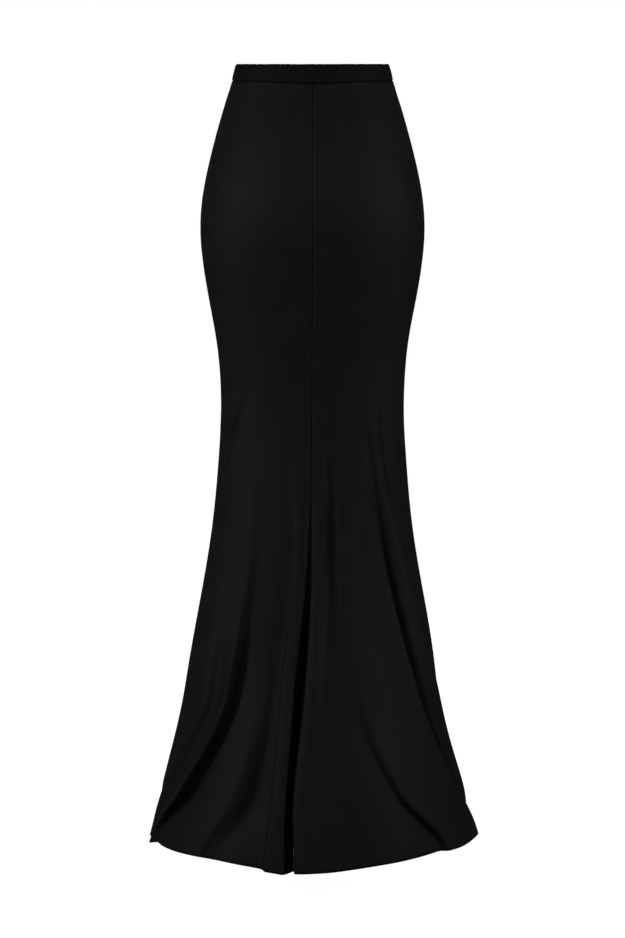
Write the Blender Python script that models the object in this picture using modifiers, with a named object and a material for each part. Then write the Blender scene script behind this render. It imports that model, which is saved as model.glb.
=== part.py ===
"""Floor-length mermaid fishtail skirt: a gripping waistband, two back panels that meet in a
centre-back seam, and one front panel. It keeps the hollow form that it has when it is worn.

Metres, +Z up. The origin is the centre of the waist, halfway up the waistband, where the wearer
holds the skirt. The wearer's back faces -Y and the front faces +Y. A place round the skirt is an
angle: 0 at the centre back, 90 at the +X side and 180 at the centre front. A place down the skirt
is its drop, the distance below the top edge of the waistband.
"""

import math
from collections import namedtuple

import bmesh
import bpy
import numpy as np

BAND_HEIGHT = 0.0262
BAND_WALL = 0.0030
BAND_ROUNDING = 0.0011
BAND_SEGMENTS = 60
CLOTH_WALL = 0.0015
SEAM_GAP = 0.0003
BAND_TUCK = 0.0009  # the band's wall leans, so its inner face reaches lower than its outer one
SELVEDGE = 0.0015  # the flat edge beside a seam, which keeps its cut square to the cloth
HEM_DROP = 1.1400

BLACK_JERSEY = {"color": (0.010, 0.010, 0.011, 1.0), "roughness": 0.62, "metallic": 0.0}
BLACK_ELASTIC = {"color": (0.009, 0.009, 0.010, 1.0), "roughness": 0.68, "metallic": 0.0}

# The figure that the skirt fits: half the width, and the depth behind and in front of the side line.
Section = namedtuple("Section", "drop half_width back front")
SECTIONS = (
    Section(0.000, 0.1106, 0.0830, 0.0850),
    Section(0.026, 0.1160, 0.0880, 0.0890),
    Section(0.060, 0.1270, 0.1000, 0.0970),
    Section(0.103, 0.1397, 0.1140, 0.1040),
    Section(0.150, 0.1514, 0.1250, 0.1080),
    Section(0.200, 0.1602, 0.1300, 0.1090),
    Section(0.240, 0.1625, 0.1270, 0.1085),
    Section(0.285, 0.1592, 0.1190, 0.1070),
    Section(0.340, 0.1502, 0.1080, 0.1030),
    Section(0.400, 0.1395, 0.0980, 0.0970),
    Section(0.450, 0.1344, 0.0920, 0.0920),
    Section(0.500, 0.1332, 0.0890, 0.0890),
    Section(0.560, 0.1359, 0.0910, 0.0900),
    Section(0.634, 0.1423, 0.0990, 0.0960),
    Section(0.700, 0.1510, 0.1080, 0.1040),
    Section(0.780, 0.1655, 0.1230, 0.1170),
    Section(0.870, 0.1821, 0.1450, 0.1350),
    Section(0.960, 0.1975, 0.1690, 0.1530),
    Section(1.050, 0.2200, 0.1930, 0.1730),
    Section(1.140, 0.2450, 0.2120, 0.1930),
)

# The lines that the flare's folds follow, in order round the skirt. A crest lies on the figure's
# section, at depth 0, and a valley lies its depth inside it. Each line gives its angles down the
# skirt, its depths in millimetres, and how far the hem rises on it.
FoldLine = namedtuple(
    "FoldLine",
    "name hip knee calf shin ankle hem calf_depth shin_depth ankle_depth hem_depth lift",
)
ANGLE_LEVELS = (0.26, 0.50, 0.70, 0.90, 1.05, 1.14)  # hip, knee, calf, shin, ankle, hem
DEPTH_LEVELS = (0.50, 0.70, 0.90, 1.05, 1.14)  # knee, calf, shin, ankle, hem
FOLD_LINES = (
    FoldLine("left_seam", -91, -92, -92, -97, -105, -110, 0, 4, 8, 10, 6),
    FoldLine("left_edge", -84, -84, -82, -82, -95, -101, 0, 0, 0, 2, 6),
    FoldLine("left_side_crest", -70, -66, -60, -56, -81.5, -94, 0, 0, 1, 3, 6),
    FoldLine("left_side_dip", -60, -57, -48, -50, -72, -87, 0, 8, 10, 7, 7),
    FoldLine("left_crest", -50, -47, -37, -41.5, -61.5, -79, 0, 0, 0, 1, 6),
    FoldLine("left_valley", -40, -40, -32.2, -37.4, -57, -73, 3, 26, 29, 12, 9),
    FoldLine("left_rise", -30, -29, -24, -26, -32, -42, 4, 18, 8, 5, 10),
    FoldLine("left_hollow", -21, -19, -15, -18.8, -25.5, -34.5, 5, 21, 25, 11, 7),
    FoldLine("roll_foot", -15, -14, -10.5, -14.6, -18.2, -19.2, 5, 22, 22, 11, 2),
    FoldLine("left_roll", -10, -9, -7, -10, -12.9, -13, 0, 0, 0, 0, 0),
    FoldLine("centre_back", 0, -0.5, -1.6, -6.2, -9.2, -7.5, 7, 42, 52, 40, -7),
    FoldLine("right_roll", 5, 4, 1, -3.3, -7.2, -5.8, 2, 4, 4, 3, -2),
    FoldLine("right_dip", 15, 10, 9, 6, 2.5, 5, 12, 7, 4, 2, 0),
    FoldLine("right_hollow", 34, 18, 14, 18, 33, 51, 4, 6, 9, 14, 12),
    FoldLine("right_rise", 44, 22, 17.8, 22.3, 37, 55.5, 0, 0, 0, 3, 12),
    FoldLine("right_slope", 48, 27, 29, 39, 55, 72, 2, 4, 6, 8, 9),
    FoldLine("right_crest", 55, 31, 41, 54, 74, 88, 0, 0, 0, 0, 12),
    FoldLine("right_valley", 62, 37, 46.5, 59, 80, 94.4, 14, 20, 30, 33, 9),
    FoldLine("valley_rise", 65, 41.5, 50.5, 64, 85.5, 98.8, 6, 6, 9, 12, 8),
    FoldLine("side_crest", 68, 49, 59, 77, 94, 106, 0, 0, 0, 2, 6),
    FoldLine("right_seam", 80, 73, 77.5, 88, 102, 115, 7, 11, 21, 28, 6),
    FoldLine("front_crest_1", 98, 92, 95, 104, 114, 124, 0, 0, 0, 0, 4),
    FoldLine("front_valley_1", 114, 113, 113, 118, 127, 137, 3, 14, 24, 30, 6),
    FoldLine("front_crest_2", 130, 130, 130, 133, 139, 147, 0, 0, 0, 0, 2),
    FoldLine("front_valley_2", 146, 147, 147, 148, 153, 159, 4, 19, 32, 37, 5),
    FoldLine("front_crest_3", 162, 164, 164, 164, 166, 170, 0, 1, 2, 3, 1),
    FoldLine("front_valley_3", 178, 180, 180, 180, 180, 182, 2, 10, 18, 24, 3),
    FoldLine("front_crest_4", 195, 198, 198, 196, 194, 194, 0, 0, 0, 0, 1),
    FoldLine("front_valley_4", 212, 215, 215, 213, 210, 208, 5, 21, 34, 39, 5),
    FoldLine("front_crest_5", 228, 230, 230, 228, 224, 221, 0, 0, 0, 0, 2),
    FoldLine("front_valley_5", 243, 243, 243, 240, 235, 231, 3, 13, 22, 28, 6),
    FoldLine("front_crest_6", 256, 256, 256, 252, 246, 241, 0, 0, 0, 0, 5),
)
FULL_TURN = 360.0
LIFT_FADE = 4  # how fast the hem's lift fades up the skirt, as a power

# Each panel runs from one seam line to the next.
Panel = namedtuple("Panel", "name first last")
PANELS = (
    Panel("back_left_panel", "left_seam", "centre_back"),
    Panel("back_right_panel", "centre_back", "right_seam"),
    Panel("front_panel", "right_seam", "left_seam"),
)
COLUMN_WIDTH = 0.022  # round the hem
LEAST_COLUMNS = 3  # from one fold line to the next
ROWS_ABOVE_KNEE = 7
ROWS_BELOW_KNEE = 12


def spline(knots, values, at):
    """A natural cubic spline through the knots, read at the places given."""
    knots, values, at = (np.asarray(v, float) for v in (knots, values, at))
    count = len(knots)
    step = np.diff(knots)
    system, right = np.eye(count), np.zeros(count)
    for i in range(1, count - 1):
        system[i, i - 1 : i + 2] = step[i - 1], 2 * (step[i - 1] + step[i]), step[i]
        right[i] = 6 * ((values[i + 1] - values[i]) / step[i] - (values[i] - values[i - 1]) / step[i - 1])
    bend = np.linalg.solve(system, right)
    i = np.clip(np.searchsorted(knots, at) - 1, 0, count - 2)
    before, after = at - knots[i], knots[i + 1] - at
    cubic = (bend[i] * after**3 + bend[i + 1] * before**3) / (6 * step[i])
    low = (values[i] / step[i] - bend[i] * step[i] / 6) * after
    high = (values[i + 1] / step[i] - bend[i + 1] * step[i] / 6) * before
    return cubic + low + high


def rounded(knots, values, at):
    """A curve through the knots that never swings past them, so that crests and valleys stay put."""
    knots, values, at = (np.asarray(v, float) for v in (knots, values, at))
    step = np.diff(knots)
    slope = np.diff(values) / step
    tangent = np.zeros(len(knots))
    same_way = slope[:-1] * slope[1:] > 0
    safe = np.where(same_way, slope[:-1] * slope[1:], 1.0)
    mean = 2 * safe / np.where(same_way, slope[:-1] + slope[1:], 1.0)
    tangent[1:-1] = np.where(same_way, mean, 0.0)
    i = np.clip(np.searchsorted(knots, at, side="right") - 1, 0, len(knots) - 2)
    t = np.clip((at - knots[i]) / step[i], 0, 1)
    start = (1 + 2 * t) * (1 - t) ** 2 * values[i] + t * (1 - t) ** 2 * step[i] * tangent[i]
    end = t**2 * (3 - 2 * t) * values[i + 1] + t**2 * (t - 1) * step[i] * tangent[i + 1]
    return start + end


def section_at(drop):
    """Half width, back depth and front depth of the figure at this drop."""
    drops = [s.drop for s in SECTIONS]
    return [
        float(spline(drops, [getattr(s, part) for s in SECTIONS], drop))
        for part in ("half_width", "back", "front")
    ]


def fold_paths(drop):
    """Angle and depth of every fold line at this drop."""
    angles, depths = [], []
    for line in FOLD_LINES:
        angle_knots = (line.hip, line.knee, line.calf, line.shin, line.ankle, line.hem)
        depth_knots = (0, line.calf_depth, line.shin_depth, line.ankle_depth, line.hem_depth)
        angles.append(float(rounded(ANGLE_LEVELS, angle_knots, drop)))
        depths.append(float(rounded(DEPTH_LEVELS, depth_knots, drop)) / 1000)
    return angles, depths


def round_the_ring(values, u, turn=0.0):
    """Reads a value that each fold line holds at places u between the lines, round the closed ring."""
    count = len(values)
    wrapped = [values[i % count] + turn * (i // count) for i in range(-2, count + 3)]
    return rounded(np.arange(-2, count + 3), wrapped, u)


def skirt_points(u, drop):
    """The points of the cloth's outer face at one drop. A whole u is a fold line."""
    half_width, back, front = section_at(drop)
    angles, depths = fold_paths(drop)
    angle = np.radians(round_the_ring(angles, u, FULL_TURN))
    inward = round_the_ring(depths, u)
    lift = round_the_ring([line.lift / 1000 for line in FOLD_LINES], u)
    reach = np.where(np.cos(angle) > 0, back, front)
    across, along = np.sin(angle) / half_width, -np.cos(angle) / reach
    length = np.hypot(across, along)
    x = half_width * np.sin(angle) - inward * across / length
    y = -reach * np.cos(angle) - inward * along / length
    z = BAND_HEIGHT / 2 - drop + lift * (drop / HEM_DROP) ** LIFT_FADE
    return np.stack([x, y, z], axis=-1)


def panel_columns(first, last):
    """The places u of a panel's columns, closer together where folds are narrow."""
    u = [float(first)]
    for line in range(first, last):
        span = np.linspace(line, line + 1, 12)
        arc = np.linalg.norm(np.diff(skirt_points(span, HEM_DROP), axis=0), axis=1).sum()
        count = max(LEAST_COLUMNS, round(arc / COLUMN_WIDTH))
        u += [line + (i + 1) / count for i in range(count)]
    return np.array(u)


def panel_rows():
    """The drops of a panel's rows, from the band's seam to the hem."""
    knee = DEPTH_LEVELS[0]
    above = np.linspace(BAND_HEIGHT + BAND_TUCK, knee, ROWS_ABOVE_KNEE + 1)
    below = np.linspace(knee, HEM_DROP, ROWS_BELOW_KNEE + 1)[1:]
    return np.concatenate([above, below])


def edge_points(u, towards, drop):
    """A panel's edge beside the seam at u: half the seam gap from it, then a selvedge from it."""
    seam, beside = skirt_points(np.array([u, u + towards * 1e-3]), drop)
    along = (beside - seam) / np.linalg.norm(beside - seam)
    return [seam + along * SEAM_GAP / 2, seam + along * SELVEDGE]


def panel_grid(first, last):
    """The panel's points, a row for each drop, from the seam at first to the seam at last."""
    columns = panel_columns(first, last)
    rows = []
    for drop in panel_rows():
        left = edge_points(first, 1, drop)
        right = edge_points(last, -1, drop)
        rows.append([*left, *skirt_points(columns[1:-1], drop), *reversed(right)])
    return np.array(rows)


def cloth_material(name, look):
    material = bpy.data.materials.new(name)
    material.use_nodes = True
    shader = material.node_tree.nodes["Principled BSDF"]
    shader.inputs["Base Color"].default_value = look["color"]
    shader.inputs["Roughness"].default_value = look["roughness"]
    shader.inputs["Metallic"].default_value = look["metallic"]
    return material


def add_object(name, shape, collection, material):
    mesh = bpy.data.meshes.new(name)
    shape.to_mesh(mesh)
    shape.free()
    mesh.shade_smooth()
    mesh.materials.append(material)
    piece = bpy.data.objects.new(name, mesh)
    collection.objects.link(piece)
    return piece


def thicken(piece, thickness):
    """Gives the open surface its wall, inwards from the outer face."""
    wall = piece.modifiers.new("Wall", "SOLIDIFY")
    wall.thickness = thickness
    wall.offset = -1
    wall.use_quality_normals = True


def make_panel(panel, collection, material):
    """A grid whose points move onto the skirt's surface, thickened to a wall of cloth."""
    names = [line.name for line in FOLD_LINES]
    first, last = names.index(panel.first), names.index(panel.last)
    if last <= first:
        last += len(FOLD_LINES)
    points = panel_grid(first, last)
    rows, columns = points.shape[:2]
    shape = bmesh.new()
    bmesh.ops.create_grid(shape, x_segments=columns - 1, y_segments=rows - 1, size=1)
    for vertex in shape.verts:
        column = round((vertex.co.x + 1) / 2 * (columns - 1))
        row = round((1 - vertex.co.y) / 2 * (rows - 1))
        vertex.co = points[row, column]
    piece = add_object(panel.name, shape, collection, material)
    thicken(piece, CLOTH_WALL)
    return piece


def make_waistband(collection, material):
    """Folded cloth over its elastic: a tube moved onto the waist, thickened and rounded."""
    shape = bmesh.new()
    bmesh.ops.create_cone(
        shape, cap_ends=False, segments=BAND_SEGMENTS, radius1=1, radius2=1, depth=BAND_HEIGHT
    )
    for vertex in shape.verts:
        drop = BAND_HEIGHT / 2 - vertex.co.z
        half_width, back, front = section_at(drop)
        angle = math.atan2(vertex.co.x, -vertex.co.y)
        reach = back if vertex.co.y < 0 else front
        vertex.co.x = half_width * math.sin(angle)
        vertex.co.y = -reach * math.cos(angle)
    bmesh.ops.recalc_face_normals(shape, faces=shape.faces)
    piece = add_object("waistband", shape, collection, material)
    thicken(piece, BAND_WALL)
    rounding = piece.modifiers.new("Rounding", "BEVEL")
    rounding.width = BAND_ROUNDING
    rounding.segments = 1
    rounding.limit_method = "ANGLE"
    return piece


def main():
    for old in list(bpy.data.objects):
        bpy.data.objects.remove(old)
    collection = bpy.data.collections.new("mermaid_fishtail_skirt")
    bpy.context.scene.collection.children.link(collection)
    jersey = cloth_material("black_jersey", BLACK_JERSEY)
    elastic = cloth_material("black_elastic_casing", BLACK_ELASTIC)
    make_waistband(collection, elastic)
    for panel in PANELS:
        make_panel(panel, collection, jersey)


main()
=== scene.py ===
import math

import bmesh
import bpy
import numpy as np
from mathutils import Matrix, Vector, noise


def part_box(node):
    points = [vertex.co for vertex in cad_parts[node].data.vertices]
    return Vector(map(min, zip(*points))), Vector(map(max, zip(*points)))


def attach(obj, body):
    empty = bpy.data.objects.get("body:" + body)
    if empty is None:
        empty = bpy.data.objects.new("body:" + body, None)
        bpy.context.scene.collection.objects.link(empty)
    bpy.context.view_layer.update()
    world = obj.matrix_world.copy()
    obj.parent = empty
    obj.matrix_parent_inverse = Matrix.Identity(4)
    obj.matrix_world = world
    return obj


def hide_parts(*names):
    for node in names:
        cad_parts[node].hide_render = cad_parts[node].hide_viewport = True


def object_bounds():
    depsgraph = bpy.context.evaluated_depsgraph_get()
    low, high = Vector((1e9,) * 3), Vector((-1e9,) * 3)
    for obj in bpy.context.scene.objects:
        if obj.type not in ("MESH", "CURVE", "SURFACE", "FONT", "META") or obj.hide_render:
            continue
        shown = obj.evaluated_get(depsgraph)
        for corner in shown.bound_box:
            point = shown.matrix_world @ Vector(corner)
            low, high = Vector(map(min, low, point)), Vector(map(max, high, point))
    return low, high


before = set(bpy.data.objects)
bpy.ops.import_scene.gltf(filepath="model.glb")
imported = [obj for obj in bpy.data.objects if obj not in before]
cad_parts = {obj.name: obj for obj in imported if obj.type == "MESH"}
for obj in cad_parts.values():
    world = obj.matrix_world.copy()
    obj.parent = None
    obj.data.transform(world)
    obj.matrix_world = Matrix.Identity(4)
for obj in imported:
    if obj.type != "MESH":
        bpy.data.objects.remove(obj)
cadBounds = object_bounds()
scene = bpy.context.scene
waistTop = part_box("waistband")[1][2]
hemLow = cadBounds[0][2]

# Camera: level with the top of the waistband, looking a little down at the skirt's back
cameraView = {"distance": 5.0, "lens": 132.35, "sensor": 36.0, "lookDown": 6.698}


def makeCamera():
    data = bpy.data.cameras.new("camera")
    data.lens = cameraView["lens"]
    data.sensor_width = cameraView["sensor"]
    camera = bpy.data.objects.new("camera", data)
    camera.location = (0, -cameraView["distance"], waistTop)
    camera.rotation_euler = (math.radians(90 - cameraView["lookDown"]), 0, 0)
    scene.collection.objects.link(camera)
    scene.camera = camera


makeCamera()
print("camera ready")

# The skirt's sections: drop below the waistband's top, half width, depth behind and in front
sectionColumns = ("drop", "halfWidth", "back", "front")
sectionRows = (
    (0.000, 0.1106, 0.0830, 0.0850),
    (0.026, 0.1160, 0.0880, 0.0890),
    (0.060, 0.1270, 0.1000, 0.0970),
    (0.103, 0.1397, 0.1140, 0.1040),
    (0.150, 0.1514, 0.1250, 0.1080),
    (0.200, 0.1602, 0.1300, 0.1090),
    (0.240, 0.1625, 0.1270, 0.1085),
    (0.285, 0.1592, 0.1190, 0.1070),
    (0.340, 0.1502, 0.1080, 0.1030),
    (0.400, 0.1395, 0.0980, 0.0970),
    (0.450, 0.1344, 0.0920, 0.0920),
    (0.500, 0.1332, 0.0890, 0.0890),
    (0.560, 0.1359, 0.0910, 0.0900),
    (0.634, 0.1423, 0.0990, 0.0960),
    (0.700, 0.1510, 0.1080, 0.1040),
    (0.780, 0.1655, 0.1230, 0.1170),
    (0.870, 0.1821, 0.1450, 0.1350),
    (0.960, 0.1975, 0.1690, 0.1530),
    (1.050, 0.2200, 0.1930, 0.1730),
    (1.140, 0.2450, 0.2120, 0.1930),
)

# The lines that the flare's folds follow, in order round the skirt: an angle in degrees at each
# level (0 at the centre back, 90 at +X), a depth inside the section in millimetres, and the hem's rise
angleLevels = (0.26, 0.50, 0.70, 0.90, 1.05, 1.14)
depthLevels = (0.50, 0.70, 0.90, 1.05, 1.14)  # no depth at the first
angleColumns = ("hip", "knee", "calf", "shin", "ankle", "hem")
depthColumns = ("calfIn", "shinIn", "ankleIn", "hemIn")
foldColumns = ("name", *angleColumns, *depthColumns, "lift")
foldRows = (
    ("leftSeam", -91, -92, -92, -97, -105, -110, 0, 4, 8, 14, 6),
    ("leftEdge", -84, -84, -82, -82, -95, -101, 0, 0, 0, 9, 6),
    ("leftEdgeDip", -78, -76, -71, -68, -88, -97, 0, 2, 5, 7, 6),
    ("leftSideCrest", -70, -66, -60, -56, -81.5, -94, 0, 0, 1, 3, 6),
    ("leftSideDip", -60, -57, -48, -50, -72, -87, 0, 8, 10, 7, 7),
    ("leftCrest", -50, -47, -37, -41.5, -61.5, -79, 0, 0, 0, 1, 6),
    ("leftLip", -46, -45, -35.8, -40.3, -60.4, -77.4, 0, 9, 11, 6, 7),
    ("leftValley", -40, -40, -32.2, -38.6, -58.6, -74.8, 3, 22, 24, 11, 9),
    ("leftSlope", -35, -35, -29, -35.6, -53, -67, 4, 19, 18, 9, 9),
    ("leftRise", -30, -30, -25, -27, -34, -43.5, 4, 18, 9, 5, 10),
    ("leftRiseLip", -27, -26, -21.5, -23.5, -29.8, -40.2, 4, 18, 14, 9, 9),
    ("leftHollow", -21, -19, -15, -18.8, -24.2, -33.5, 5, 21, 25, 12, 7),
    ("rollFoot", -15, -14, -10.4, -15.6, -17.4, -18.5, 4, 18, 20, 10, 2),
    ("leftRoll", -11, -10, -8, -14, -15.4, -16, 0, 2, 3, 1, 0),
    ("rollLip", -6, -5, -4.4, -9.6, -10.9, -10.6, 1, 0, 0, 1, -3),
    ("centreBack", 0, -0.5, -1.6, -6.2, -9.2, -7.5, 7, 42, 52, 40, -7),
    ("rightRoll", 5, 4, 1, -3.3, -7.2, -5.8, 2, 4, 4, 3, -2),
    ("rightCrown", 8, 7, 3.4, 0.4, -3.4, -1.5, 0, 0, 0, 0, -1),
    ("rightDip", 15, 10, 9, 6, 2.5, 5, 12, 7, 4, 2, 0),
    ("rightSwell", 24, 14, 12.5, 14.5, 18, 24, 8, 6, 3, 3, 7),
    ("rightHollow", 34, 18, 15, 19, 33.6, 51.3, 2, 5, 7, 13, 12),
    ("rightRise", 44, 22, 17.8, 22.3, 37, 55.5, 0, 0, 0, 3, 12),
    ("rightSlope", 48, 27, 29, 39, 55, 72, 2, 4, 6, 8, 9),
    ("rightCrest", 55, 31, 41, 54, 71, 88, 0, 0, -1, 0, 12),
    ("rightLip", 57, 32.4, 42.5, 55.3, 72.4, 89.6, 6, 9, 10, 10, 11),
    ("rightValley", 62, 37, 46.5, 59, 77, 94, 14, 20, 30, 33, 9),
    ("valleyRise", 65, 41.5, 50.5, 64, 83, 98.8, 6, 6, 9, 12, 8),
    ("sideCrest", 68, 49, 59, 77, 91, 106, 0, 0, 0, 2, 6),
    ("sideLip", 72, 53, 62.2, 80, 95, 108, 4, 6, 6, 7, 6),
    ("rightSeam", 80, 73, 77.5, 88, 102, 115, 7, 11, 21, 28, 6),
    ("frontCrest1", 98, 92, 95, 104, 114, 124, 0, 0, 0, 0, 4),
    ("frontValley1", 114, 113, 113, 118, 127, 137, 3, 14, 24, 30, 6),
    ("frontCrest2", 130, 130, 130, 133, 139, 147, 0, 0, 0, 0, 2),
    ("frontValley2", 146, 147, 147, 148, 153, 159, 4, 19, 32, 37, 5),
    ("frontCrest3", 162, 164, 164, 164, 166, 170, 0, 1, 2, 3, 1),
    ("frontValley3", 178, 180, 180, 180, 180, 182, 2, 10, 18, 24, 3),
    ("frontCrest4", 195, 198, 198, 196, 194, 194, 0, 0, 0, 0, 1),
    ("frontValley4", 212, 215, 215, 213, 210, 208, 5, 21, 34, 39, 5),
    ("frontCrest5", 228, 230, 230, 228, 224, 221, 0, 0, 0, 0, 2),
    ("frontValley5", 243, 243, 243, 240, 235, 231, 3, 13, 22, 28, 6),
    ("frontCrest6", 256, 256, 256, 252, 246, 241, 0, 0, 0, 0, 5),
)
sections = {name: np.array([row[i] for row in sectionRows]) for i, name in enumerate(sectionColumns)}
folds = [dict(zip(foldColumns, row)) for row in foldRows]
foldNames = [fold["name"] for fold in folds]
skirtForm = {
    "hemDrop": 1.140,
    "bandHeight": 0.0262,
    "liftFade": 4,  # a higher power keeps the hem's rise nearer to the hem
    "seamGap": 0.00002,
    "seamWidth": 0.001556,  # how far from a seam the cloth rolls into it, and how deep
    "seamDepth": 0.0017,
    "rowHeight": 0.0046,
    "columnWidth": 0.0036,
    "hemShare": 2 / 3,  # columns are evened by the hem's length so much, and the rest by the knee's
    "stepsPerFold": 48,
    "topRows": 16,  # closer rows under the waistband
    "topHeight": 0.006,
    "wall": 0.0011,
    "turnedHem": 0.018,
    "hemStep": 0.004,
}

# Where the panels' top edge goes in behind the waistband, in metres
topEdge = {
    "up": 0.0022,  # how far it goes up behind the band's lip
    "dip": 0.0030,  # how far it goes in
    "dipFrom": 0.0003,  # the dip fades between these drops below the band's edge
    "dipTo": 0.0022,
    "joinWidth": 0.0070,  # the centre-back seam is bulky, so the dip is deeper and longer there
    "joinDeeper": 0.4,
    "joinFrom": 0.0012,
    "joinTo": 0.0016,
    "sideLess": 0.7,  # the dip is slight at the outline
    "sidePower": 8,
    "rise": 0.0032,  # how far the band's edge climbs away from the centre back
    "riseWidth": 0.060,
    "riseFade": 0.060,
}


def spline(knots, values, at):
    # a natural cubic spline through the knots
    step = np.diff(knots)
    count = len(knots)
    system, right = np.eye(count), np.zeros(count)
    for i in range(1, count - 1):
        system[i, i - 1 : i + 2] = step[i - 1], 2 * (step[i - 1] + step[i]), step[i]
        right[i] = 6 * ((values[i + 1] - values[i]) / step[i] - (values[i] - values[i - 1]) / step[i - 1])
    bend = np.linalg.solve(system, right)
    i = np.clip(np.searchsorted(knots, at) - 1, 0, count - 2)
    before, after = at - knots[i], knots[i + 1] - at
    cubic = (bend[i] * after**3 + bend[i + 1] * before**3) / (6 * step[i])
    low = (values[i] / step[i] - bend[i] * step[i] / 6) * after
    high = (values[i + 1] / step[i] - bend[i + 1] * step[i] / 6) * before
    return cubic + low + high


def rounded(knots, values, at):
    # a curve that never swings past its knots, so that crests and valleys stay put
    knots, values = np.asarray(knots, float), np.asarray(values, float)
    step = np.diff(knots)
    slope = np.diff(values) / step
    sameWay = slope[:-1] * slope[1:] > 0
    product = np.where(sameWay, slope[:-1] * slope[1:], 1.0)
    total = np.where(sameWay, slope[:-1] + slope[1:], 1.0)
    tangent = np.zeros(len(knots))
    tangent[1:-1] = np.where(sameWay, 2 * product / total, 0.0)
    i = np.clip(np.searchsorted(knots, at, side="right") - 1, 0, len(knots) - 2)
    t = np.clip((at - knots[i]) / step[i], 0, 1)
    start = (1 + 2 * t) * (1 - t) ** 2 * values[i] + t * (1 - t) ** 2 * step[i] * tangent[i]
    end = t**2 * (3 - 2 * t) * values[i + 1] + t**2 * (t - 1) * step[i] * tangent[i + 1]
    return start + end


def ringCurve(values, u, turn=0.0):
    # a value held by each fold line, read between the lines round the closed ring
    count = len(values)
    wrapped = [values[i % count] + turn * (i // count) for i in range(-2, count + 3)]
    return rounded(np.arange(-2, count + 3), wrapped, u)


def sectionAt(drop):
    return {name: float(spline(sections["drop"], sections[name], drop)) for name in sectionColumns[1:]}


def placeOn(section, angle, inward):
    # x and y at an angle round a section, moved inwards at right angles to it
    reach = np.where(np.cos(angle) > 0, section["back"], section["front"])
    across, along = np.sin(angle) / section["halfWidth"], -np.cos(angle) / reach
    length = np.hypot(across, along)
    x = section["halfWidth"] * np.sin(angle) - inward * across / length
    y = -reach * np.cos(angle) - inward * along / length
    return x, y


def ringAt(drop):
    # the section and the fold lines at one drop, ready for surfacePoints
    ring = sectionAt(drop)
    ring["angles"], ring["depths"] = [], []
    for fold in folds:
        turns = [fold[name] for name in angleColumns]
        depths = [0] + [fold[name] / 1000 for name in depthColumns]
        ring["angles"].append(float(rounded(angleLevels, turns, drop)))
        ring["depths"].append(float(rounded(depthLevels, depths, drop)))
    risen = (drop / skirtForm["hemDrop"]) ** skirtForm["liftFade"]
    ring["lifts"] = [fold["lift"] / 1000 * risen for fold in folds]
    ring["height"] = waistTop - drop
    return ring


def surfacePoints(ring, u):
    # the cloth's outer face along one ring; a whole u is a fold line
    angle = np.radians(ringCurve(ring["angles"], u, 360.0))
    x, y = placeOn(ring, angle, ringCurve(ring["depths"], u))
    return np.stack([x, y, ring["height"] + ringCurve(ring["lifts"], u)], axis=-1)


def arcAlong(points):
    steps = np.linalg.norm(np.diff(points, axis=0), axis=1)
    return np.concatenate([[0.0], np.cumsum(steps)])


panels = (
    {"name": "backLeft", "node": "back_left_panel", "from": "leftSeam", "to": "centreBack"},
    {"name": "backRight", "node": "back_right_panel", "from": "centreBack", "to": "rightSeam"},
    {"name": "front", "node": "front_panel", "from": "rightSeam", "to": "leftSeam"},
)
seamSteps = (0.0, 0.0004, 0.0009, 0.0015, 0.0023, 0.0034)  # columns beside a seam, metres from it


def panelSpan(panel):
    first, last = foldNames.index(panel["from"]), foldNames.index(panel["to"])
    return first, last if last > first else last + len(folds)


def columnPlan(first, last):
    # the places u of a panel's columns, evened between the hem and the knee
    dense = np.linspace(first, last, (last - first) * skirtForm["stepsPerFold"] + 1)
    hemArc = arcAlong(surfacePoints(ringAt(skirtForm["hemDrop"]), dense))
    kneeArc = arcAlong(surfacePoints(ringAt(depthLevels[0]), dense))
    share = skirtForm["hemShare"]
    even = share * hemArc / hemArc[-1] + (1 - share) * kneeArc / kneeArc[-1]
    count = round(hemArc[-1] / skirtForm["columnWidth"])
    return dense, np.interp(np.linspace(0, 1, count + 1), even, dense)


def makeRings():
    # the whole skirt's outer face: rows of points round it, each panel's columns in turn, with
    # every point's distance along its own ring from its panel's two seams
    top, bottom = skirtForm["bandHeight"] - topEdge["up"], skirtForm["hemDrop"]
    rows = round((bottom - top) / skirtForm["rowHeight"])
    below = np.linspace(top + skirtForm["topHeight"], bottom, rows + 1)
    close = np.linspace(top, below[0], skirtForm["topRows"], endpoint=False)
    drops = np.concatenate([close, below])
    plans = [columnPlan(*panelSpan(panel)) for panel in panels]
    steps = np.array(seamSteps)
    points, fromFirst, fromLast = [], [], []
    for drop in drops:
        ring = ringAt(drop)
        row, first, last = [], [], []
        for dense, inner in plans:
            arc = arcAlong(surfacePoints(ring, dense))
            total, margin = arc[-1], steps[-1]
            middle = margin + np.interp(inner, dense, arc) / total * (total - 2 * margin)
            places = np.concatenate([steps[:-1], middle, total - steps[-2::-1]])
            row.append(surfacePoints(ring, np.interp(places, arc, dense)))
            first.append(places)
            last.append(total - places)
        points.append(np.concatenate(row))
        fromFirst.append(np.concatenate(first))
        fromLast.append(np.concatenate(last))
    widths = [len(inner) + 2 * (len(steps) - 1) for dense, inner in plans]
    return np.array(points), np.array(fromFirst), np.array(fromLast), drops, np.cumsum([0] + widths)


def normalsOf(points, cuts):
    # across the seams too: a seam's two columns share one place, so they share one normal
    before, after = np.roll(points, 1, axis=1), np.roll(points, -1, axis=1)
    for cut in cuts[:-1]:
        before[:, cut] = points[:, cut - 2]
        after[:, cut - 1] = points[:, (cut + 1) % points.shape[1]]
    normal = np.cross(after - before, np.gradient(points, axis=0))
    normal /= np.linalg.norm(normal, axis=-1, keepdims=True)
    return normal * np.sign(np.sum(normal[..., :2] * points[..., :2], axis=-1).mean())


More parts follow.
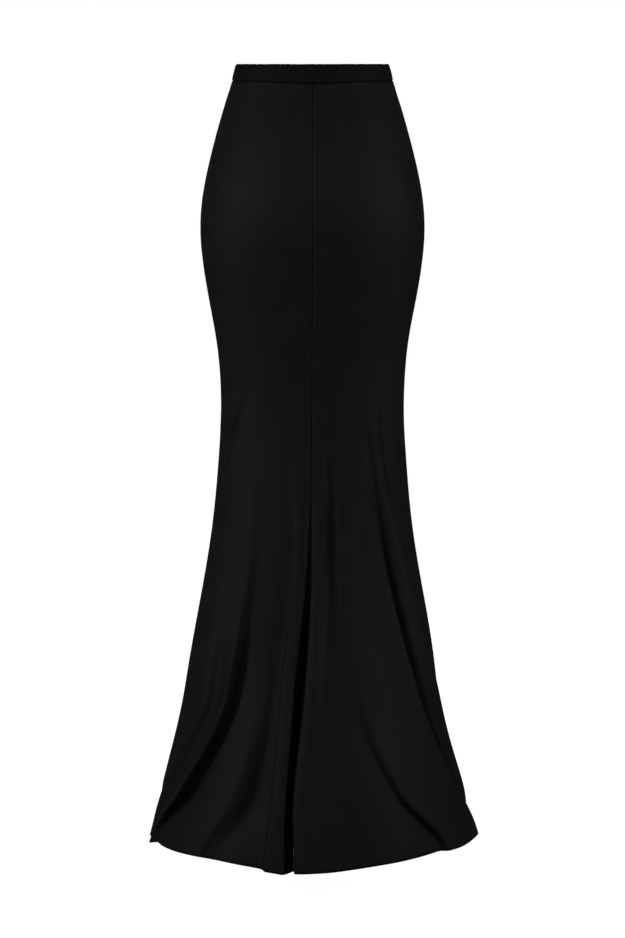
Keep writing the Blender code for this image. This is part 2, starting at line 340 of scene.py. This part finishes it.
def noiseAt(points, scale, seed):
    # smooth noise in space, so that it runs on across the seams
    flat = points.reshape(-1, 3) / np.array(scale) + seed
    return np.array([noise.noise(p) for p in flat.tolist()]).reshape(points.shape[:-1])


def smoothStep(low, high, value):
    t = np.clip((value - low) / (high - low), 0, 1)
    return t * t * (3 - 2 * t)


clothDetail = {
    "drapeDepth": 0.0011,  # long soft unevenness of the hanging flare
    "drapeScale": (0.045, 0.045, 0.26),
    "bodyDepth": 0.0005,  # shallow unevenness over the hips
    "bodyScale": (0.060, 0.060, 0.090),
    "flareStart": 0.56,  # the drops between which the first gives way to the second
    "flareFull": 0.95,
    "gatherDepth": 0.0010,  # fullness let in under the waistband
    "gatherScale": (0.009, 0.009, 0.4167),
    "gatherReach": 0.045,
    "puckerDepth": 0.00032,  # along the seams
    "puckerLength": 0.011,
    "puckerReach": 0.007,
    "creaseFade": 1.3,
}

# Single creases: where each starts and ends (angle, drop), how wide it is and how deep, in millimetres
creaseColumns = ("startAngle", "startDrop", "midAngle", "midDrop", "endAngle", "endDrop", "width", "depth")
creaseRows = (
    (-57, 0.455, -68, 0.530, -78, 0.610, 4.5, 3.6),  # beside the left knee
    (-63, 0.465, -73, 0.540, -83, 0.620, 6.0, -1.2),
    (40, 0.080, 55, 0.120, 74, 0.140, 9.0, 0.5),
    (-34, 0.075, -52, 0.110, -70, 0.125, 8.0, 0.5),
    (55, 0.440, 58.5, 0.560, 66, 0.740, 3.4, 2.6),  # running down from the right knee
    (49, 0.440, 52.5, 0.560, 59, 0.740, 6.0, -1.0),
    (60, 0.330, 68, 0.390, 73, 0.455, 7.0, 0.6),
    (160, 0.470, 175, 0.500, 200, 0.520, 10.0, 0.6),
    (230, 0.330, 243, 0.400, 252, 0.470, 8.0, 0.8),
    (120, 0.420, 112, 0.480, 104, 0.560, 8.0, 0.9),
)
creases = [dict(zip(creaseColumns, row)) for row in creaseRows]


def creaseDepth(points, drops):
    # how far the creases press the cloth in, at each point
    around = np.degrees(np.arctan2(points[..., 0], -points[..., 1]))
    radius = np.hypot(points[..., 0], points[..., 1])
    depth = np.zeros(points.shape[:-1])
    for crease in creases:
        knots = [crease["startDrop"], crease["midDrop"], crease["endDrop"]]
        turns = [crease["startAngle"], crease["midAngle"], crease["endAngle"]]
        path = rounded(knots, turns, drops)[:, None]
        away = np.radians((around - path + 180) % 360 - 180) * radius * 1000
        along = (drops - knots[0]) / (knots[2] - knots[0])
        fade = np.sin(np.pi * np.clip(along, 0, 1)) ** clothDetail["creaseFade"]
        depth += crease["depth"] / 1000 * np.exp(-((away / crease["width"]) ** 2)) * fade[:, None]
    return depth


def bandRise(x, y):
    # the band is narrower away from the centre back
    return topEdge["rise"] * (1 - np.exp(-((x / topEdge["riseWidth"]) ** 2)) * (y < 0))


def dressPoints(points, seam, drops, cuts):
    # unevenness, gathers, creases, seams and the top edge's dip, moved along the cloth's normal
    normal = normalsOf(points, cuts)
    drop = drops[:, None]
    fromBand = drop - skirtForm["bandHeight"]
    flare = smoothStep(clothDetail["flareStart"], clothDetail["flareFull"], drop)
    away = clothDetail["drapeDepth"] * flare * noiseAt(points, clothDetail["drapeScale"], 3.1)
    away += clothDetail["bodyDepth"] * (1 - flare) * noiseAt(points, clothDetail["bodyScale"], 7.7)
    ripple = noiseAt(points, clothDetail["gatherScale"], 1.9)
    away += clothDetail["gatherDepth"] * ripple * np.exp(-((fromBand / clothDetail["gatherReach"]) ** 2))
    pucker = noiseAt(points * (0, 0, 1) + (5, 5, 0), (1, 1, clothDetail["puckerLength"]), 4.2)
    away += clothDetail["puckerDepth"] * pucker * np.exp(-((seam / clothDetail["puckerReach"]) ** 2))
    away -= creaseDepth(points, drops)
    away -= skirtForm["seamDepth"] * np.exp(-((seam / skirtForm["seamWidth"]) ** 2))
    x, y = points[..., 0], points[..., 1]
    join = np.exp(-((x / topEdge["joinWidth"]) ** 2)) * (y < 0)
    sideways = np.abs(x) / np.abs(x).max(axis=1, keepdims=True)
    dip = topEdge["dip"] * (1 + topEdge["joinDeeper"] * join)
    dip *= 1 - topEdge["sideLess"] * sideways ** topEdge["sidePower"]
    dipFrom = topEdge["dipFrom"] + topEdge["joinFrom"] * join
    dipTo = topEdge["dipTo"] + topEdge["joinTo"] * join
    away -= dip * (1 - smoothStep(dipFrom, dipTo, fromBand))
    dressed = points + normal * away[..., None]
    dressed[..., 2] += bandRise(x, y) * (1 - smoothStep(0.0, topEdge["riseFade"], fromBand))
    return dressed


def gridObject(name, points, across, drops):
    # a grid whose points move to the panel's, with its cut in metres as its UV map
    rows, columns = points.shape[:2]
    shape = bmesh.new()
    bmesh.ops.create_grid(shape, x_segments=columns - 1, y_segments=rows - 1, size=1)
    mesh = bpy.data.meshes.new(name)
    shape.to_mesh(mesh)
    shape.free()
    place = np.empty(len(mesh.vertices) * 3)
    mesh.vertices.foreach_get("co", place)
    place = place.reshape(-1, 3)
    column = np.rint((place[:, 0] + 1) / 2 * (columns - 1)).astype(int)
    row = np.rint((1 - place[:, 1]) / 2 * (rows - 1)).astype(int)
    mesh.vertices.foreach_set("co", points[row, column].ravel())
    corner = np.empty(len(mesh.loops), dtype=int)
    mesh.loops.foreach_get("vertex_index", corner)
    flat = np.stack([across[row, column], -drops[row]], axis=-1)
    layer = mesh.uv_layers.new(name="cut")
    layer.data.foreach_set("uv", flat[corner].ravel())
    mesh.shade_smooth()
    mesh.update()
    piece = bpy.data.objects.new(name, mesh)
    scene.collection.objects.link(piece)
    return piece, row


def giveWall(piece, drops, row):
    # cloth thickness, inwards, and double where the hem is turned up
    hem = piece.vertex_groups.new(name="turnedHem")
    fromHem = drops[-1] - drops[row]
    turned = 1 - smoothStep(skirtForm["turnedHem"] - skirtForm["hemStep"], skirtForm["turnedHem"], fromHem)
    for level in np.unique(turned):
        hem.add(np.flatnonzero(turned == level).tolist(), float(0.5 + 0.5 * level), "REPLACE")
    wall = piece.modifiers.new("wall", "SOLIDIFY")
    wall.thickness = skirtForm["wall"] * 2
    wall.offset = -1
    wall.vertex_group = hem.name
    wall.use_quality_normals = True


class Value:
    # a shader socket that takes part in arithmetic
    def __init__(self, tree, socket):
        self.tree = tree
        self.socket = socket

    def make(self, kind, settings=None, sockets=None, out=0):
        node = self.tree.nodes.new(kind)
        for name, setting in (settings or {}).items():
            setattr(node, name, setting)
        for key, value in (sockets or {}).items():
            if isinstance(value, Value):
                self.tree.links.new(value.socket, node.inputs[key])
            else:
                node.inputs[key].default_value = value
        return Value(self.tree, node.outputs[out])

    def math(self, operation, *others):
        sockets = {i: value for i, value in enumerate((self, *others))}
        return self.make("ShaderNodeMath", {"operation": operation}, sockets)

    def __add__(self, other):
        return self.math("ADD", other)

    __radd__ = __add__

    def __sub__(self, other):
        return self.math("SUBTRACT", other)

    def __rsub__(self, other):
        return self.make("ShaderNodeMath", {"operation": "SUBTRACT"}, {0: other, 1: self})

    def __mul__(self, other):
        return self.math("MULTIPLY", other)

    __rmul__ = __mul__

    def __truediv__(self, other):
        return self.math("DIVIDE", other)

    def __rtruediv__(self, other):
        return self.make("ShaderNodeMath", {"operation": "DIVIDE"}, {0: other, 1: self})


jerseyLook = {
    "dark": (0.0032, 0.0032, 0.0036, 1),
    "light": (0.0112, 0.0112, 0.0118, 1),
    "roughness": 0.56,
    "specular": 0.048,
    "mottleScale": 24.0,  # uneven dye and wear
    "mottleRough": 0.16,
    "fibreScale": 420.0,
    "fibreRough": 0.06,
    "wale": 0.0011,  # one column of stitches
    "course": 0.0008,  # one row of stitches
    "stitchHeight": 0.00010,
    "stitchSlant": 0.8,
    "bump": 0.6,
    "paintedShadeDrop": 0.0272,  # painted shade: the cloth under the waistband's seam is given the darkest colour down to here
    "paintedShadeFade": 0.0012,
}
casingLook = jerseyLook | {
    "dark": (0.0020, 0.0020, 0.0023, 1),
    "light": (0.0062, 0.0062, 0.0066, 1),
    "roughness": 0.62,
    "paintedShadeDrop": -1.0,  # none
}


def knitMaterial(name, look):
    material = bpy.data.materials.new(name)
    material.use_nodes = True
    tree = material.node_tree
    shader = tree.nodes["Principled BSDF"]
    shader.inputs["Specular IOR Level"].default_value = look["specular"]
    start = Value(tree, None)
    cut = start.make("ShaderNodeUVMap", {"uv_map": "cut"})
    u = start.make("ShaderNodeSeparateXYZ", {}, {0: cut}, 0)
    v = start.make("ShaderNodeSeparateXYZ", {}, {0: cut}, 1)
    mottle = start.make(
        "ShaderNodeTexNoise",
        {},
        {"Vector": cut, "Scale": look["mottleScale"], "Detail": 4.0, "Roughness": 0.6},
    )
    fibre = start.make(
        "ShaderNodeTexNoise",
        {},
        {"Vector": cut, "Scale": look["fibreScale"], "Detail": 3.0, "Roughness": 0.65},
    )
    wale = (u * (math.pi / look["wale"])).math("SINE").math("ABSOLUTE")
    slant = (u / look["wale"]).math("FRACT") - 0.5
    rise = v + slant.math("ABSOLUTE") * (look["wale"] * look["stitchSlant"])
    stitch = (rise * (2 * math.pi / look["course"])).math("SINE")
    height = wale * 0.7 + stitch * 0.25 * wale + fibre * 0.5
    tone = mottle * 0.5 + fibre * 0.3 + wale * 0.2
    # painted shade: the cloth just under the waistband's seam gets the darkest colour, standing in for the
    # crevice's shadow
    belowPaintedShade = (0 - v - look["paintedShadeDrop"]) / look["paintedShadeFade"]
    lit = start.make("ShaderNodeClamp", {}, {0: belowPaintedShade})
    colour = start.make(
        "ShaderNodeMix",
        {"data_type": "RGBA"},
        {"Factor": tone * lit, 6: look["dark"], 7: look["light"]},
        2,
    )
    tree.links.new(colour.socket, shader.inputs["Base Color"])
    even = look["roughness"] - look["mottleRough"] / 2
    rough = mottle * look["mottleRough"] + even + fibre * look["fibreRough"]
    tree.links.new(rough.socket, shader.inputs["Roughness"])
    bump = start.make(
        "ShaderNodeBump",
        {},
        {"Height": height, "Strength": look["bump"], "Distance": look["stitchHeight"]},
    )
    tree.links.new(bump.socket, shader.inputs["Normal"])
    return material


jersey = knitMaterial("blackJersey", jerseyLook)
casing = knitMaterial("blackCasing", casingLook)


def makePanels():
    base, fromFirst, fromLast, drops, cuts = makeRings()
    skirt = dressPoints(base, np.minimum(fromFirst, fromLast), drops, cuts)
    for panel, start, end in zip(panels, cuts[:-1], cuts[1:]):
        points, left, right = skirt[:, start:end], fromFirst[:, start:end], fromLast[:, start:end]
        for edge, beside in ((0, 1), (-1, -2)):  # a hair's gap at the seam
            inward = points[:, beside] - points[:, edge]
            inward /= np.linalg.norm(inward, axis=-1, keepdims=True)
            points[:, edge] += inward * skirtForm["seamGap"] / 2
        width, length = (left + right).max(), drops[-1] - drops[0]
        piece, row = gridObject(panel["name"], points, (left - right) / 2, drops)
        giveWall(piece, drops, row)
        piece.data.materials.append(jersey)
        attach(piece, "root")
        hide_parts(panel["node"])


makePanels()

bandForm = {
    "thickness": 0.0034,
    "columns": 720,
    "puff": 0.0005,  # how far the elastic swells the strip
    "gatherDepth": 0.00035,
    "gatherCounts": (11, 24),  # gathers round the band, coarse and fine
    "fineShare": 0.6,
    "joinDepth": 0.0009,  # where the strip's ends meet
    "joinWidth": 0.0102,  # in radians
    "edgeRipple": 0.0004,  # of the folded top edge, down to a drop
    "edgeDrop": 0.004,
    "foldHeight": 0.0050,  # the fold at the top
    "foldDepth": 0.0026,
    "foldInside": 0.0022,
    "lip": 0.0009,
    "lipRound": 0.0006,
    "measuredRow": 6,  # the outer row whose length is the strip's
}


def bandProfile():
    # the folded casing in section, as (depth inside the outline, drop): down the inside of the lip
    # that covers the panels' top edge, up the outside, over the fold and down the inside
    low, thick = skirtForm["bandHeight"], bandForm["thickness"]
    lip, bend = bandForm["lip"], bandForm["lipRound"]
    high, deep, inside = bandForm["foldHeight"], bandForm["foldDepth"], bandForm["foldInside"]
    hidden = low - topEdge["up"] - bend
    profile = [(lip, hidden), (lip, low - bend * 4 / 3), (lip * 0.75, low - bend / 3)]
    profile += [(lip * 0.35, low), (0.0, low - bend)]
    for t in np.linspace(0.08, 1, 13):
        profile.append((-bandForm["puff"] * math.sin(math.pi * t) ** 0.8, low - t * (low - high)))
    for t in np.linspace(0, math.pi / 2, 8)[1:]:
        profile.append((deep * (1 - math.cos(t)), high * (1 - math.sin(t))))
    for t in np.linspace(0, math.pi / 2, 5)[1:]:
        profile.append((deep + (thick - deep) * math.sin(t), inside * (1 - math.cos(t))))
    for t in np.linspace(0.1, 0.92, 9):
        profile.append((thick + 0.0002 * math.sin(math.pi * t), inside + t * (hidden - inside)))
    profile.append((thick - 0.0004, hidden))
    return profile


def makeBand():
    profile = bandProfile()
    count = bandForm["columns"]
    angle = np.linspace(0, 2 * np.pi, count, endpoint=False)
    coarse, fine = bandForm["gatherCounts"]
    ripple = np.zeros(count)
    for i, a in enumerate(angle):
        ripple[i] = noise.noise((math.sin(a) * coarse, math.cos(a) * coarse, 0.3))
        ripple[i] += bandForm["fineShare"] * noise.noise((math.sin(a) * fine, math.cos(a) * fine, 2.3))
    fromJoin = np.minimum(angle, 2 * np.pi - angle)
    joinDip = bandForm["joinDepth"] * np.exp(-((fromJoin / bandForm["joinWidth"]) ** 2))
    rows = []
    for inside, drop in profile:
        outer = inside < bandForm["thickness"] * 0.5
        middle = math.sin(math.pi * min(1, drop / skirtForm["bandHeight"]))
        gather = bandForm["gatherDepth"] * ripple * (0.4 + 0.6 * middle)
        x, y = placeOn(sectionAt(drop), angle, inside + joinDip * outer - gather)
        z = waistTop - drop + bandRise(x, y) * drop / skirtForm["bandHeight"]
        if drop < bandForm["edgeDrop"]:
            z += bandForm["edgeRipple"] * ripple
        rows.append(np.stack([x, y, z], axis=-1))
    points = np.array(rows)
    mesh = bpy.data.meshes.new("casing")
    index = np.arange(len(profile) * count).reshape(-1, count)
    faces = []
    for upper, lower in zip(index, np.roll(index, -1, axis=0)):
        faces += np.stack([upper, np.roll(upper, -1), np.roll(lower, -1), lower], axis=-1).tolist()
    mesh.from_pydata(points.reshape(-1, 3).tolist(), [], faces)
    mesh.validate()
    shape = bmesh.new()
    shape.from_mesh(mesh)
    bmesh.ops.recalc_face_normals(shape, faces=shape.faces)
    shape.to_mesh(mesh)
    shape.free()
    lengths = np.linalg.norm(np.diff(points, axis=0, append=points[:1]), axis=-1).mean(axis=1)
    travel = np.concatenate([[0], np.cumsum(lengths)])
    measured = points[bandForm["measuredRow"]]
    perimeter = np.linalg.norm(np.diff(measured, axis=0, append=measured[:1]), axis=-1).sum()
    layer = mesh.uv_layers.new(name="cut")
    corner = np.empty(len(mesh.loops), dtype=int)
    mesh.loops.foreach_get("vertex_index", corner)
    column, row = corner % count, corner // count
    uv = np.stack([column / count * perimeter, travel[row]], axis=-1)
    for poly in mesh.polygons:  # close the map across the join
        span = slice(poly.loop_start, poly.loop_start + poly.loop_total)
        if uv[span, 0].max() - uv[span, 0].min() > perimeter / 2:
            uv[span, 0] += np.where(uv[span, 0] < perimeter / 2, perimeter, 0)
        if uv[span, 1].max() - uv[span, 1].min() > travel[-1] / 2:
            uv[span, 1] += np.where(uv[span, 1] < travel[-1] / 2, travel[-1], 0)
    layer.data.foreach_set("uv", uv.ravel())
    mesh.shade_smooth()
    piece = bpy.data.objects.new("casing", mesh)
    scene.collection.objects.link(piece)
    piece.data.materials.append(casing)
    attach(piece, "root")
    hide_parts("waistband")
    print("waistband round", round(perimeter, 4))


makeBand()
print("cloth ready")

stageLook = {
    "gap": 0.060,  # the skirt hangs this far above the floor
    "size": 60.0,
    "shade": (0.09, 0.09, 0.09, 1),
    "roughness": 0.9,
    "glow": 0.996,
}


def evenGlow(tree, seen, given):
    # one grey where the camera looks straight at it, and another in the light that it gives
    direct = Value(tree, None).make("ShaderNodeLightPath")
    greys = {6: (given, given, given, 1), 7: (seen, seen, seen, 1)}
    return direct.make("ShaderNodeMix", {"data_type": "RGBA"}, {"Factor": direct} | greys, 2)


def makeStage():
    # a pale floor, mostly self-lit so that it stays even out to the horizon
    bpy.ops.mesh.primitive_plane_add(size=stageLook["size"], location=(0, 0, hemLow - stageLook["gap"]))
    floor = bpy.context.object
    floor.name = "floor"
    material = bpy.data.materials.new("paleFloor")
    material.use_nodes = True
    tree = material.node_tree
    shader = tree.nodes["Principled BSDF"]
    shader.inputs["Base Color"].default_value = stageLook["shade"]
    shader.inputs["Roughness"].default_value = stageLook["roughness"]
    shader.inputs["Specular IOR Level"].default_value = 0.0
    shader.inputs["Emission Strength"].default_value = 1.0
    tree.links.new(evenGlow(tree, stageLook["glow"], 0.0).socket, shader.inputs["Emission Color"])
    floor.data.materials.append(material)


makeStage()

# soft lamps round the skirt: compass angle from behind it, height and power
studioLights = (
    {"name": "left", "angle": -68, "height": 0.05, "power": 28},
    {"name": "right", "angle": 70, "height": 0.10, "power": 28},
    {"name": "behindLeft", "angle": -28, "height": 0.40, "power": 13},
    {"name": "behindRight", "angle": 22, "height": 0.40, "power": 8},
    {"name": "frontLeft", "angle": -150, "height": 0.40, "power": 30},
    {"name": "frontRight", "angle": 158, "height": 0.40, "power": 20},
)
lampRing = {"distance": 2.4, "size": 0.8, "aim": (0, 0, -0.45)}
roomLight = {"seen": 1.0, "given": 0.04}


def makeLights():
    for light in studioLights:
        data = bpy.data.lights.new(light["name"], "AREA")
        data.shape = "DISK"
        data.size = lampRing["size"]
        data.energy = light["power"]
        lamp = bpy.data.objects.new(light["name"], data)
        turn = math.radians(light["angle"])
        reach = lampRing["distance"]
        lamp.location = (reach * math.sin(turn), -reach * math.cos(turn), light["height"])
        aim = Vector(lampRing["aim"]) - lamp.location
        lamp.rotation_euler = aim.to_track_quat("-Z", "Y").to_euler()
        lamp.visible_glossy = abs(light["angle"]) < 90  # no bright rims
        scene.collection.objects.link(lamp)
    world = bpy.data.worlds.new("studio")
    scene.world = world
    world.use_nodes = True
    tree = world.node_tree
    background = tree.nodes["Background"]
    background.inputs["Strength"].default_value = 1.0
    tree.links.new(evenGlow(tree, roomLight["seen"], roomLight["given"]).socket, background.inputs["Color"])
    scene.view_settings.view_transform = "Standard"


makeLights()
print("stage ready")
